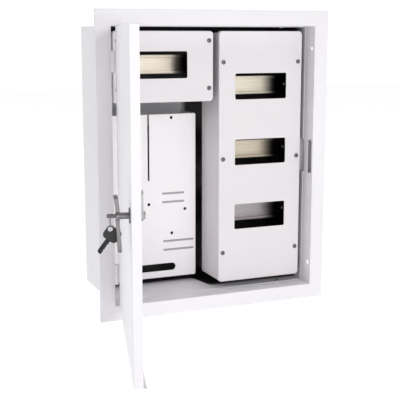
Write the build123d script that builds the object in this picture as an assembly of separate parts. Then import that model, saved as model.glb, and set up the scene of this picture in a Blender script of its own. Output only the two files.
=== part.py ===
"""Recessed sheet-steel meter and distribution enclosure with an open lockable door.

The origin is the centre of the four wall bolts on the outside of the back wall.
X runs to the right, Y runs into the wall and Z runs up. The door stands open.
"""
from build123d import *
import math
import os

os.makedirs("parts", exist_ok=True)

# overall sizes, in millimetres
flange_width = 460.0
flange_height = 560.0
total_depth = 195.0
flange_band = 28.0
frame_sheet = 1.5
box_sheet = 1.2
flange_lip = 5.0
frame_return_depth = 46.0
box_front_setback = 36.0
sleeve_gap = 0.3
box_corner = 2.0
small_bend = 1.5

# wall bolts
bolt_spacing_x = 300.0
bolt_spacing_z = 400.0
bolt_hole_radius = 4.0

# knock-outs in the top and bottom walls
knockout_radius = 14.0
knockout_groove = 0.8
knockout_groove_depth = 0.4
knockout_pitch = 70.0
knockout_count = 4
knockout_from_back = 60.0

# holes in the frame's side returns
side_hole_radius = 4.0
side_hole_depth = 12.0
side_hole_from_end = 42.0

# slot that takes the lock's cam, the notch behind it and the pocket outside both
strike_slot_start = 5.0
strike_slot_end = 20.0
strike_notch_start = 34.0
strike_notch_end = 50.0
strike_slot_bottom = -30.0
strike_slot_top = 34.0
strike_pocket_depth = 14.0
strike_pocket_sheet = 1.0
strike_pocket_margin = 4.0
strike_pocket_start = 2.5

# door
door_sheet = 1.2
door_gap = 1.5
door_hinge_gap = 3.4
door_side_return = 14.0
door_end_return = 19.0
door_open_angle = 105.0

# hinges
hinge_forward = 4.6
knuckle_radius = 4.0
knuckle_length = 18.0
knuckle_gap = 0.4
hinge_pin_radius = 2.0
hinge_pin_clearance = 0.05
hinge_pin_head_radius = 3.0
hinge_pin_head = 1.2
hinge_leaf = 1.5
hinge_leaf_depth = 14.0
hinge_from_end = 62.0

# lock
lock_from_edge = 24.0
lock_height = -8.0
lock_flange_radius = 11.0
lock_flange = 1.8
lock_barrel_radius = 9.0
lock_barrel_flat = 8.2
lock_nut_across_flats = 24.0
lock_nut = 4.5
lock_fit_clearance = 0.3
plug_radius = 4.6
plug_clearance = 0.05
plug_front = 14.5
plug_square = 6.2
cam_gap = 0.4
cam_sheet = 2.5
cam_width = 15.0
cam_length = 34.0
cam_screw_head_radius = 5.5
cam_screw_head = 3.0
cam_screw_radius = 2.0
cam_screw_length = 7.0
cam_screw_bore_spare = 0.5
cam_corner = 4.5

# lever handle, measured from the lock's axis
lever_thickness = 5.5
lever_up = 29.0
lever_down = 51.5
lever_width = 13.0
lever_hub_radius = 9.0
lever_raise = 2.5
lever_corner = 5.8

# keys
key_bow_length = 12.0
key_bow_width = 21.0
key_bow_corner = 4.0
spare_bow_length = 20.0
spare_bow_width = 23.0
spare_bow_corner = 6.0
spare_hole_side = 6.5
spare_hole_from_end = 5.5
key_bow_thickness = 2.0
key_blade_length = 30.0
spare_blade_length = 22.0
key_blade_width = 6.6
key_blade_thickness = 1.6
key_blade_root = 0.5
key_tip_gap = 0.9
key_tip_chamfer = 3.0
key_hole_radius = 3.6
key_hole_side = 5.0
key_hole_from_end = 5.0
keyway_clearance = 0.15
key_teeth_depths = (0.85, 1.2, 0.85, 1.2)
key_teeth_pitch = 4.0
key_teeth_from_tip = 3.0

# ring and the spare key that hangs on it
ring_inner_radius = 9.0
ring_wire_radius = 0.6
ring_rest_gap = 0.2
ring_hole_gap = 0.2

# covers in front of the modules, set back from the flange face and in from the opening
cover_setback = 30.0
cover_sheet = 1.2
cover_edge = 12.0
cover_corner = 7.0
cover_bend = 2.0
cover_gap_left = 12.0
cover_gap_right = 11.0
cover_gap_top = 9.0
cover_gap_bottom = 15.0
covers_apart = 12.0
covers_parting = 10.5

upper_cover_height = 128.7
upper_row_from_top = 61.0
upper_window_shift = -8.55
upper_screw_rise = 43.5

right_side_depth = 83.0
right_row_from_top = 103.0
right_row_pitch = 125.0
right_screw_from_end = 57.5

window_width = 108.0
window_height = 49.0
window_corner = 3.0

cover_screw_edge = 8.6
cover_screw_head_radius = 4.2
cover_screw_head = 2.4
cover_screw_radius = 2.0
cover_screw_length = 9.0
screw_clearance = 0.3
screw_crown = 0.7

# uprights that carry the covers and the rails
upright_sheet = 1.5
upright_flange = 16.0
upright_depth = 28.0
upright_side_gap = 0.6
upright_end_gap = 4.0
upright_leg_height = 22.0
upright_leg_inset = 14.0
upright_foot = 15.0
rail_tab = 14.0
rail_tab_height = 24.0

# mounting rails
rail_width = 35.0
rail_depth = 7.5
rail_sheet = 1.0
rail_inner_width = 27.0
rail_behind_cover = 45.0
rail_end_gap = 1.0
rail_slot_length = 15.0
rail_slot_width = 5.2
rail_slot_pitch = 25.0
rail_screw_head_radius = 3.6
rail_screw_head = 2.0
rail_screw_radius = 1.9
rail_screw_length = 7.0
rail_screw_inset = 8.4
rail_tab_clear = 2.0

# meter panel, its edges measured from the opening and the upper cover
panel_sheet = 1.5
panel_setback = 113.0
panel_gap_left = 8.0
panel_gap_bottom = 13.0
panel_below_cover = 28.3
panel_inside_cover = 1.5
panel_foot = 14.0
panel_corner = 3.0
panel_end_fold = 12.0
panel_slot_width = 3.5
panel_slot_length = 132.0
panel_slot_above_top = 2.5
panel_hole_radius = 3.0
panel_top_pair_apart = 95.0
panel_top_pair_from_top = 7.5
panel_wide_pair_apart = 151.0
panel_wide_pair_from_bottom = 136.0
panel_low_pair_apart = 95.0
panel_low_pair_from_bottom = 89.0
panel_centre_hole_from_top = 176.0
cable_slot_length = 110.0
cable_slot_height = 15.0
cable_slot_from_bottom = 21.0

# screws that hold the frame on the box
frame_screw_spread = 150.0
frame_screw_head_radius = 4.5
frame_screw_head = 2.2
frame_screw_radius = 2.4
frame_screw_length = 9.0
frame_nut_across_flats = 8.0
frame_nut = 3.2

# sizes that follow from the ones above
face_y = -total_depth
opening_width = flange_width - 2 * flange_band
opening_height = flange_height - 2 * flange_band
opening_left = -opening_width / 2
opening_right = opening_width / 2
box_width = opening_width - 2 * sleeve_gap
box_height = opening_height - 2 * sleeve_gap
box_front_y = face_y + box_front_setback
back_inside_y = -box_sheet

door_left = opening_left + door_hinge_gap
door_right = opening_right - door_gap
door_height = opening_height - 2 * door_gap
hinge_x = opening_left + door_hinge_gap / 2
hinge_y = face_y - hinge_forward
hinge_height = opening_height / 2 - hinge_from_end
lock_x = door_right - lock_from_edge
key_shoulder_y = face_y - plug_front - lever_thickness - plug_clearance
key_tip_y = key_shoulder_y + key_blade_length
cam_back_y = key_tip_y + key_tip_gap + cam_screw_length
cam_front_y = cam_back_y - cam_sheet
lock_barrel_depth = cam_front_y - cam_gap - face_y

cover_front_y = face_y + cover_setback
cover_back_y = cover_front_y + cover_sheet
cover_top = opening_height / 2 - cover_gap_top
upper_cover_left = opening_left + cover_gap_left
upper_cover_right = covers_parting - covers_apart / 2
upper_cover_bottom = cover_top - upper_cover_height
upper_row = cover_top - upper_row_from_top
upper_window_centre = (upper_cover_left + upper_cover_right) / 2 + upper_window_shift
right_cover_left = covers_parting + covers_apart / 2
right_cover_right = opening_right - cover_gap_right
right_cover_bottom = -opening_height / 2 + cover_gap_bottom
right_window_centre = (right_cover_left + right_cover_right) / 2
right_rows = tuple(cover_top - right_row_from_top - number * right_row_pitch for number in range(3))

rail_front_y = cover_front_y + rail_behind_cover
rail_back_y = rail_front_y + rail_depth
panel_front_y = face_y + panel_setback
panel_left = opening_left + panel_gap_left
panel_right = upper_cover_right - panel_inside_cover
panel_bottom = -opening_height / 2 + panel_gap_bottom
panel_top = upper_cover_bottom - panel_below_cover


def block(x0, x1, y0, y1, z0, z1):
    """A box between two corners."""
    centre = Pos((x0 + x1) / 2, (y0 + y1) / 2, (z0 + z1) / 2)
    return centre * Box(x1 - x0, y1 - y0, z1 - z0)


def slab(outline, y0, y1):
    """A flat outline, drawn in X and Z, made solid from y0 to y1."""
    plane = Plane((0, y0, 0), x_dir=(1, 0, 0), z_dir=(0, -1, 0))
    return extrude(plane * outline, amount=y0 - y1)


def rod_y(radius, x, z, y0, y1):
    """A round bar along Y."""
    return slab(Pos(x, z) * Circle(radius), y0, y1)


def rod_x(radius, y, z, x0, x1):
    """A round bar along X."""
    return Pos((x0 + x1) / 2, y, z) * Rot(0, 90, 0) * Cylinder(radius, x1 - x0)


def rod_z(radius, x, y, z0, z1):
    """A round bar along Z."""
    return Pos(x, y, (z0 + z1) / 2) * Cylinder(radius, z1 - z0)


def rounded(x0, x1, z0, z1, corner):
    """A rectangle with round corners, placed by its edges."""
    return Pos((x0 + x1) / 2, (z0 + z1) / 2) * RectangleRounded(x1 - x0, z1 - z0, corner)


def bend_front(part, radius):
    """Rounds the outer rim of the front face, as a folded sheet has it."""
    rim = part.faces().sort_by(Axis.Y)[0].outer_wire().edges()
    return fillet(rim, radius)


def bend_back(part, radius):
    """Rounds the outer rim of the back face, as a folded sheet has it."""
    rim = part.faces().sort_by(Axis.Y)[-1].outer_wire().edges()
    return fillet(rim, radius)


def domed_screw(x, y, z, head_radius, head, shank_radius, length):
    """A round-headed screw that points along +Y, with the head's seat at y."""
    crown = bend_front(rod_y(head_radius, x, z, y - head, y), head * screw_crown)
    return crown + rod_y(shank_radius, x, z, y, y + length)


def swing_door(part):
    """Turns a piece of the closed door to where it stands open."""
    return Pos(hinge_x, hinge_y, 0) * Rot(0, 0, -door_open_angle) * Pos(-hinge_x, -hinge_y, 0) * part


def together(parts):
    """Several separate solids of one kind, kept in one node."""
    return Compound(children=list(parts))


# back box: one folded sheet, open to the front
def make_back_box():
    half_w = box_width / 2
    half_h = box_height / 2
    shell = slab(rounded(-half_w, half_w, -half_h, half_h, box_corner), box_front_y, 0)
    shell = bend_back(shell, box_corner)
    inner_w = half_w - box_sheet
    inner_h = half_h - box_sheet
    shell -= block(-inner_w, inner_w, box_front_y - 1, back_inside_y, -inner_h, inner_h)
    for x in (-bolt_spacing_x / 2, bolt_spacing_x / 2):
        for z in (-bolt_spacing_z / 2, bolt_spacing_z / 2):
            shell -= rod_y(bolt_hole_radius, x, z, -2 * box_sheet, box_sheet)
    groove = Cylinder(knockout_radius, 2 * knockout_groove_depth)
    groove -= Cylinder(knockout_radius - knockout_groove, 2 * knockout_groove_depth)
    first = -(knockout_count - 1) * knockout_pitch / 2
    for number in range(knockout_count):
        x = first + number * knockout_pitch
        for z in (-half_h, half_h):
            shell -= Pos(x, -knockout_from_back, z) * groove
    shell -= strike_cut(box_front_y - 1, face_y + strike_notch_end)
    for x in (-frame_screw_spread, frame_screw_spread):
        hole_radius = frame_screw_radius + screw_clearance
        shell -= rod_z(hole_radius, x, frame_screw_y(), -half_h - 1, -inner_h + 1)
        shell -= rod_z(hole_radius, x, frame_screw_y(), inner_h - 1, half_h + 1)
    return shell


def frame_screw_y():
    """The frame's screws sit half way along the stretch where frame and box lap."""
    return face_y + (box_front_setback + frame_return_depth) / 2


def strike_cut(y0, y1):
    """A rectangular cut through the right wall where the lock's cam works."""
    x0 = opening_right - strike_pocket_margin
    x1 = opening_right + strike_pocket_margin
    return block(x0, x1, y0, y1, strike_slot_bottom, strike_slot_top)


# front frame: flange, turned-back lip and the return that sleeves over the box
def make_front_frame():
    half_w = flange_width / 2
    half_h = flange_height / 2
    plate = slab(rounded(-half_w, half_w, -half_h, half_h, box_corner), face_y, face_y + flange_lip)
    plate = bend_front(plate, small_bend)
    plate -= block(
        -half_w + frame_sheet, half_w - frame_sheet,
        face_y + frame_sheet, face_y + flange_lip + 1,
        -half_h + frame_sheet, half_h - frame_sheet,
    )
    sleeve_w = opening_width / 2 + frame_sheet
    sleeve_h = opening_height / 2 + frame_sheet
    plate += block(-sleeve_w, sleeve_w, face_y + frame_sheet, face_y + frame_return_depth, -sleeve_h, sleeve_h)
    plate -= block(
        opening_left, opening_right,
        face_y - 1, face_y + frame_return_depth + 1,
        -opening_height / 2, opening_height / 2,
    )
    plate -= strike_cut(face_y + strike_slot_start, face_y + strike_slot_end)
    plate -= strike_cut(face_y + strike_notch_start, face_y + frame_return_depth + 1)
    side_hole_height = opening_height / 2 - side_hole_from_end
    for z in (-side_hole_height, side_hole_height):
        plate -= rod_x(side_hole_radius, face_y + side_hole_depth, z, -sleeve_w - 1, opening_left + 1)
        plate -= rod_x(side_hole_radius, face_y + side_hole_depth, z, opening_right - 1, sleeve_w + 1)
    for x in (-frame_screw_spread, frame_screw_spread):
        hole_radius = frame_screw_radius + screw_clearance
        plate -= rod_z(hole_radius, x, frame_screw_y(), -sleeve_h - 1, -opening_height / 2 + 1)
        plate -= rod_z(hole_radius, x, frame_screw_y(), opening_height / 2 - 1, sleeve_h + 1)
    return plate


def make_strike_pocket():
    """A small folded pocket outside the cuts, so that plaster can't reach the cam."""
    seat = opening_right + frame_sheet
    far = seat + strike_pocket_depth
    y0 = face_y + strike_pocket_start
    y1 = face_y + strike_notch_end + strike_pocket_margin
    z0 = strike_slot_bottom - strike_pocket_margin
    z1 = strike_slot_top + strike_pocket_margin
    sheet = strike_pocket_sheet
    pocket = block(seat, far, y0, y1, z0, z1)
    pocket -= block(seat - 1, far - sheet, y0 + sheet, y1 - sheet, z0 + sheet, z1 - sheet)
    return pocket


def make_frame_screws():
    """Four screws, from inside the box outwards through the lapped sheets."""
    screws = []
    seat = box_height / 2 - box_sheet
    for x in (-frame_screw_spread, frame_screw_spread):
        for up in (1, -1):
            screw = domed_screw(
                0, 0, 0,
                frame_screw_head_radius, frame_screw_head,
                frame_screw_radius, frame_screw_length,
            )
            screws.append(Pos(x, frame_screw_y(), up * seat) * Rot(up * 90, 0, 0) * screw)
    return together(screws)


def make_frame_nuts():
    nuts = []
    seat = opening_height / 2 + frame_sheet
    for x in (-frame_screw_spread, frame_screw_spread):
        for up in (1, -1):
            nut = extrude(RegularPolygon(frame_nut_across_flats / 2, 6, major_radius=False), frame_nut)
            nut -= Cylinder(frame_screw_radius + plug_clearance, 4 * frame_nut)
            bottom = seat if up > 0 else -seat - frame_nut
            nuts.append(Pos(x, frame_screw_y(), bottom) * nut)
    return together(nuts)


# door
def make_door_leaf():
    half_h = door_height / 2
    deep = max(door_side_return, door_end_return)
    pan = slab(rounded(door_left, door_right, -half_h, half_h, box_corner), face_y, face_y + deep)
    pan = bend_front(pan, small_bend)
    inner_top = half_h - door_sheet
    pan -= block(
        door_left + door_sheet, door_right - door_sheet,
        face_y + door_sheet, face_y + deep + 1,
        -inner_top, inner_top,
    )
    for x0, x1 in ((door_left - 1, door_left + door_sheet + 1), (door_right - door_sheet - 1, door_right + 1)):
        pan -= block(x0, x1, face_y + door_side_return, face_y + deep + 1, -inner_top, inner_top)
    pan -= lock_barrel_shape(lock_fit_clearance, face_y - 1, face_y + 2 * door_sheet)
    return swing_door(pan)


def knuckle(z0, z1):
    """One hinge knuckle, bored for the pin."""
    barrel = rod_z(knuckle_radius, hinge_x, hinge_y, z0, z1)
    return barrel


def pin_bore(z0, z1):
    return rod_z(hinge_pin_radius + hinge_pin_clearance, hinge_x, hinge_y, z0 - 1, z1 + 1)


def make_frame_hinges():
    """The lower knuckles, each with a leaf welded inside the frame's return."""
    lugs = []
    for height in (-hinge_height, hinge_height):
        z0 = height - knuckle_length - knuckle_gap / 2
        z1 = height - knuckle_gap / 2
        leaf = block(
            opening_left, opening_left + hinge_leaf,
            hinge_y, face_y + hinge_leaf_depth,
            z0, z1,
        )
        lugs.append(knuckle(z0, z1) + leaf - pin_bore(z0, z1))
    return together(lugs)


def make_door_hinges():
    """The upper knuckles, each with a leaf welded on the door's hinge edge."""
    lugs = []
    for height in (-hinge_height, hinge_height):
        z0 = height + knuckle_gap / 2
        z1 = height + knuckle_length + knuckle_gap / 2
        leaf = block(
            door_left - hinge_leaf, door_left,
            hinge_y, face_y + door_side_return,
            z0, z1,
        )
        lugs.append(swing_door(knuckle(z0, z1) + leaf - pin_bore(z0, z1)))
    return together(lugs)


def make_hinge_pins():
    """Pins with a head under the lower knuckle."""
    pins = []
    for height in (-hinge_height, hinge_height):
        low = height - knuckle_length - knuckle_gap / 2
        high = height + knuckle_length + knuckle_gap / 2
        pin = rod_z(hinge_pin_radius, hinge_x, hinge_y, low, high - knuckle_gap)
        pin += rod_z(hinge_pin_head_radius, hinge_x, hinge_y, low - hinge_pin_head, low)
        pins.append(pin)
    return together(pins)


# lock
def lock_barrel_shape(growth, y0, y1):
    """The lock's barrel with its two flats, grown for the hole that takes it."""
    round_bar = rod_y(lock_barrel_radius + growth, lock_x, lock_height, y0, y1)
    reach = 2 * lock_barrel_radius
    flat = lock_barrel_flat + growth
    return round_bar & block(
        lock_x - flat, lock_x + flat,
        y0, y1,
        lock_height - reach, lock_height + reach,
    )


def make_lock_body():
    body = lock_barrel_shape(0, face_y - lock_flange / 2, face_y + lock_barrel_depth)
    flange = rod_y(lock_flange_radius, lock_x, lock_height, face_y - lock_flange, face_y)
    flange = bend_front(flange, lock_flange / 3)
    body += flange
    body -= rod_y(
        plug_radius + plug_clearance, lock_x, lock_height,
        face_y - lock_flange - 1, face_y + lock_barrel_depth + 1,
    )
    return swing_door(body)


def make_lock_nut():
    outline = RegularPolygon(lock_nut_across_flats / 2, 6, major_radius=False)
    y0 = face_y + door_sheet
    nut = slab(Pos(lock_x, lock_height) * outline, y0, y0 + lock_nut)
    nut -= rod_y(lock_barrel_radius + plug_clearance, lock_x, lock_height, y0 - 1, y0 + lock_nut + 1)
    return swing_door(nut)


def keyway(y0, y1):
    """The slot that takes a key's blade."""
    half_w = key_blade_width / 2 + keyway_clearance
    half_t = key_blade_thickness / 2 + keyway_clearance
    return block(lock_x - half_w, lock_x + half_w, y0, y1, lock_height - half_t, lock_height + half_t)


def make_lock_plug():
    """The turning plug, round in the barrel and square where the cam sits."""
    plug = rod_y(plug_radius, lock_x, lock_height, face_y - plug_front, cam_front_y)
    half = plug_square / 2
    plug += block(
        lock_x - half, lock_x + half,
        cam_front_y, cam_back_y,
        lock_height - half, lock_height + half,
    )
    plug -= keyway(face_y - plug_front - 1, key_tip_y + key_tip_gap)
    plug -= rod_y(
        cam_screw_radius + plug_clearance, lock_x, lock_height,
        cam_back_y - cam_screw_length - cam_screw_bore_spare, cam_back_y + 1,
    )
    return swing_door(plug)


def make_lock_lever():
    """A slim cranked handle on the plug: short end up, long end down."""
    back = face_y - plug_front
    front = back - lever_thickness
    top = lock_height + lever_up
    bottom = lock_height - lever_down
    hub_top = lock_height + lever_hub_radius
    hub_low = lock_height - lever_hub_radius
    side = Polyline(
        (back, hub_top),
        (back - lever_raise, top),
        (front - lever_raise, top),
        (front, hub_top),
        (front, hub_low),
        (front + lever_raise, bottom),
        (back + lever_raise, bottom),
        (back, hub_low),
        close=True,
    )
    plane = Plane((lock_x - lever_hub_radius, 0, 0), x_dir=(0, 1, 0), z_dir=(1, 0, 0))
    strip = extrude(plane * make_face(side.edges()), amount=2 * lever_hub_radius)
    half = lever_width / 2
    arm = rounded(lock_x - half, lock_x + half, bottom, top, lever_corner)
    outline = arm + Pos(lock_x, lock_height) * Circle(lever_hub_radius)
    depth0 = front - lever_raise - 1
    depth1 = back + lever_raise + 1
    lever = strip & slab(outline, depth0, depth1)
    lever -= keyway(depth0, depth1)
    return swing_door(lever)


def make_lock_cam():
    """A flat cam on the plug's square, pointing up while the lock is open."""
    half = cam_width / 2
    low = lock_height - half
    high = lock_height + cam_length
    outline = rounded(lock_x - half, lock_x + half, low, high, cam_corner)
    cam = slab(outline, cam_front_y, cam_back_y)
    square = plug_square / 2 + plug_clearance
    cam -= block(
        lock_x - square, lock_x + square,
        cam_front_y - 1, cam_back_y + 1,
        lock_height - square, lock_height + square,
    )
    return swing_door(cam)


def make_cam_screw():
    head = rod_y(cam_screw_head_radius, lock_x, lock_height, cam_back_y, cam_back_y + cam_screw_head)
    head = bend_back(head, cam_screw_head / 3)
    shank = rod_y(cam_screw_radius, lock_x, lock_height, cam_back_y - cam_screw_length, cam_back_y)
    return swing_door(head + shank)


# keys
def key_shape(bow_length, bow_width, bow_corner, hole_x, hole_y, blade_length):
    """A flat key in its own plane: shoulder at the origin, blade along +Y, bow along -Y."""
    half_t = key_bow_thickness / 2
    bow = Pos(0, -bow_length / 2) * RectangleRounded(bow_width, bow_length, bow_corner)
    bow -= Pos(hole_x, hole_y) * Circle(key_hole_radius)
    key = extrude(bow, half_t, both=True)
    blade = Pos(0, (blade_length - key_blade_root) / 2)
    blade = blade * Rectangle(key_blade_width, blade_length + key_blade_root)
    for number, depth in enumerate(key_teeth_depths):
        y = blade_length - key_teeth_from_tip - number * key_teeth_pitch
        side = depth * math.sqrt(2)
        blade -= Pos(key_blade_width / 2, y) * Rot(0, 0, 45) * Rectangle(side, side)
    tip = Pos(-key_blade_width / 2, blade_length) * Rot(0, 0, 45)
    blade -= tip * Rectangle(key_tip_chamfer, key_tip_chamfer)
    key += extrude(blade, key_blade_thickness / 2, both=True)
    return key


def make_lock_key():
    key = key_shape(
        key_bow_length, key_bow_width, key_bow_corner,
        -key_hole_side, key_hole_from_end - key_bow_length, key_blade_length,
    )
    return swing_door(Pos(lock_x, key_shoulder_y, lock_height) * key)


def ring_centre():
    """Centre of the ring as it hangs over the rim beside the bow's hole."""
    rim = key_bow_width / 2 - key_hole_side - key_hole_radius
    x = lock_x - key_bow_width / 2 + rim / 2
    y = key_shoulder_y - key_bow_length + key_hole_from_end
    chord = math.sqrt(ring_inner_radius ** 2 - (rim / 2) ** 2)
    z = lock_height + key_bow_thickness / 2 + ring_rest_gap - chord
    return x, y, z


def make_key_ring():
    x, y, z = ring_centre()
    wire = Torus(ring_inner_radius + ring_wire_radius, ring_wire_radius)
    return swing_door(Pos(x, y, z) * Rot(90, 0, 0) * wire)


def make_spare_key():
    """Hangs on the ring by its bow's hole, tipped until its weight is under the ring."""
    x, y, z = ring_centre()
    pivot_z = z - ring_inner_radius - ring_wire_radius
    drop = key_hole_radius - ring_wire_radius - ring_hole_gap
    hole_y = spare_hole_from_end - spare_bow_length
    key = key_shape(
        spare_bow_length, spare_bow_width, spare_bow_corner,
        -spare_hole_side, hole_y, spare_blade_length,
    )
    key = Pos(spare_hole_side, -hole_y, 0) * key
    hanging = Rot(0, 90, 0) * Rot(0, 0, -90) * Rot(0, 180, 0) * key
    weight = hanging.center(CenterOf.MASS)
    tilt = math.degrees(math.atan2(weight.Y, -weight.Z))
    hanging = Pos(0, 0, -drop) * Rot(-tilt, 0, 0) * hanging
    return swing_door(Pos(x, y, pivot_z) * hanging)


# covers
def make_cover(left, right, bottom, top, window_x, rows, screws, side_depth):
    """A folded cover with module windows; side_depth deepens its left fold."""
    deep = max(side_depth, cover_edge)
    cover = slab(rounded(left, right, bottom, top, cover_corner), cover_front_y, cover_front_y + deep)
    cover = bend_front(cover, cover_bend)
    if deep > cover_edge:
        cover -= block(
            left + cover_sheet, right + 1,
            cover_front_y + cover_edge, cover_front_y + deep + 1,
            bottom - 1, top + 1,
        )
    cover -= slab(
        rounded(
            left + cover_sheet, right - cover_sheet,
            bottom + cover_sheet, top - cover_sheet,
            cover_corner - cover_sheet,
        ),
        cover_back_y, cover_front_y + deep + 1,
    )
    half_w = window_width / 2
    half_h = window_height / 2
    for row in rows:
        window = rounded(window_x - half_w, window_x + half_w, row - half_h, row + half_h, window_corner)
        cover -= slab(window, cover_front_y - 1, cover_back_y + 1)
    for x, z in screws:
        cover -= rod_y(cover_screw_radius + screw_clearance, x, z, cover_front_y - 1, cover_back_y + 1)
    return cover


def upper_screw_places():
    places = []
    for x in (upper_cover_left + cover_screw_edge, upper_cover_right - cover_screw_edge):
        for z in (upper_row - upper_screw_rise, upper_row + upper_screw_rise):
            places.append((x, z))
    return places


def right_screw_places():
    low = right_cover_bottom + right_screw_from_end
    high = cover_top - right_screw_from_end
    places = []
    for x in (right_cover_left + cover_screw_edge, right_cover_right - cover_screw_edge):
        for z in (low, (low + high) / 2, high):
            places.append((x, z))
    return places


def make_upper_cover():
    return make_cover(
        upper_cover_left, upper_cover_right, upper_cover_bottom, cover_top,
        upper_window_centre, (upper_row,), upper_screw_places(), cover_edge,
    )


def make_right_cover():
    return make_cover(
        right_cover_left, right_cover_right, right_cover_bottom, cover_top,
        right_window_centre, right_rows, right_screw_places(), right_side_depth,
    )


def make_cover_screws(places):
    screws = []
    for x, z in places:
        screws.append(
            domed_screw(
                x, cover_front_y, z,
                cover_screw_head_radius, cover_screw_head,
                cover_screw_radius, cover_screw_length,
            )
        )
    return together(screws)


# uprights
def make_upright(edge, side, bottom, top, rows, legs, screws):
    """A folded upright: flange behind the cover, web with rail tabs, legs with feet.

    edge is the web's outer face and side is +1 where the flange points to +X.
    """
    def span(start, end):
        return sorted((edge + side * start, edge + side * end))

    web_x = span(0, upright_sheet)
    flange_x = span(0, upright_flange)
    foot_x = span(0, upright_foot)
    tab_x = span(0, rail_tab)
    front = cover_back_y
    upright = block(*flange_x, front, front + upright_sheet, bottom, top)
    upright += block(*web_x, front, front + upright_depth, bottom, top)
    for row in rows:
        z0 = row - rail_tab_height / 2
        z1 = row + rail_tab_height / 2
        upright += block(*web_x, front, rail_back_y + upright_sheet, z0, z1)
        upright += block(*tab_x, rail_back_y, rail_back_y + upright_sheet, z0, z1)
        hole_x = edge + side * rail_screw_inset
        upright -= rod_y(
            rail_screw_radius + screw_clearance, hole_x, row,
            rail_back_y - 1, rail_back_y + upright_sheet + 1,
        )
    for leg in legs:
        z0 = leg - upright_leg_height / 2
        z1 = leg + upright_leg_height / 2
        upright += block(*web_x, front, back_inside_y, z0, z1)
        upright += block(*foot_x, back_inside_y - upright_sheet, back_inside_y, z0, z1)
    for x, z in screws:
        if flange_x[0] < x < flange_x[1]:
            hole_radius = cover_screw_radius + screw_clearance
            upright -= rod_y(hole_radius, x, z, front - 1, front + upright_sheet + 1)
    return upright


def right_legs():
    low = right_cover_bottom + cover_sheet + upright_end_gap + upright_leg_inset
    high = cover_top - cover_sheet - upright_end_gap - upright_leg_inset
    middle = (right_rows[1] + right_rows[2]) / 2
    return low, middle, high


def right_edges():
    """Outer faces of the right bay's two webs, just inside the cover's folds."""
    inside = cover_sheet + upright_side_gap
    return right_cover_left + inside, right_cover_right - inside


def upper_edges():
    inside = cover_sheet + upright_side_gap
    return upper_cover_left + inside, upper_cover_right - inside


def make_right_upright(side):
    edge = right_edges()[0] if side > 0 else right_edges()[1]
    bottom = right_cover_bottom + cover_sheet + upright_end_gap
    top = cover_top - cover_sheet - upright_end_gap
    return make_upright(edge, side, bottom, top, right_rows, right_legs(), right_screw_places())


def make_upper_upright(side):
    edge = upper_edges()[0] if side > 0 else upper_edges()[1]
    bottom = upper_cover_bottom + cover_sheet + upright_end_gap
    top = cover_top - cover_sheet - upright_end_gap
    legs = (bottom + upright_leg_inset, top - upright_leg_inset)
    return make_upright(edge, side, bottom, top, (upper_row,), legs, upper_screw_places())


# rails
def make_rail(edges, row):
    """A top-hat rail between two uprights, with a row of slots in its web."""
    x0 = edges[0] + upright_sheet + rail_end_gap
    x1 = edges[1] - upright_sheet - rail_end_gap
    half = rail_width / 2
    hat = rail_inner_width / 2
    rail = block(x0, x1, rail_front_y, rail_front_y + rail_sheet, row - half, row + half)
    rail += block(x0, x1, rail_front_y, rail_back_y, row - hat, row + hat)
    rail -= block(
        x0 - 1, x1 + 1,
        rail_front_y - 1, rail_back_y - rail_sheet,
        row - hat + rail_sheet, row + hat - rail_sheet,
    )
    middle = (x0 + x1) / 2
    room = x1 - x0 - 2 * (rail_tab + rail_tab_clear)
    count = max(1, int(room // rail_slot_pitch))
    first = middle - (count - 1) * rail_slot_pitch / 2
    for number in range(count):
        x = first + number * rail_slot_pitch
        slot = Pos(x, row) * SlotOverall(rail_slot_length, rail_slot_width)
        rail -= slab(slot, rail_back_y - 2 * rail_sheet, rail_back_y + 1)
    for x in rail_screw_xs(edges):
        hole_radius = rail_screw_radius + screw_clearance
        rail -= rod_y(hole_radius, x, row, rail_back_y - 2 * rail_sheet, rail_back_y + 1)
    return rail


def rail_screw_xs(edges):
    return edges[0] + rail_screw_inset, edges[1] - rail_screw_inset


def make_rail_screws():
    screws = []
    places = [(x, upper_row) for x in rail_screw_xs(upper_edges())]
    for row in right_rows:
        places += [(x, row) for x in rail_screw_xs(right_edges())]
    for x, z in places:
        screws.append(
            domed_screw(
                x, rail_back_y - rail_sheet, z,
                rail_screw_head_radius, rail_screw_head,
                rail_screw_radius, rail_screw_length,
            )
        )
    return together(screws)


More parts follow.
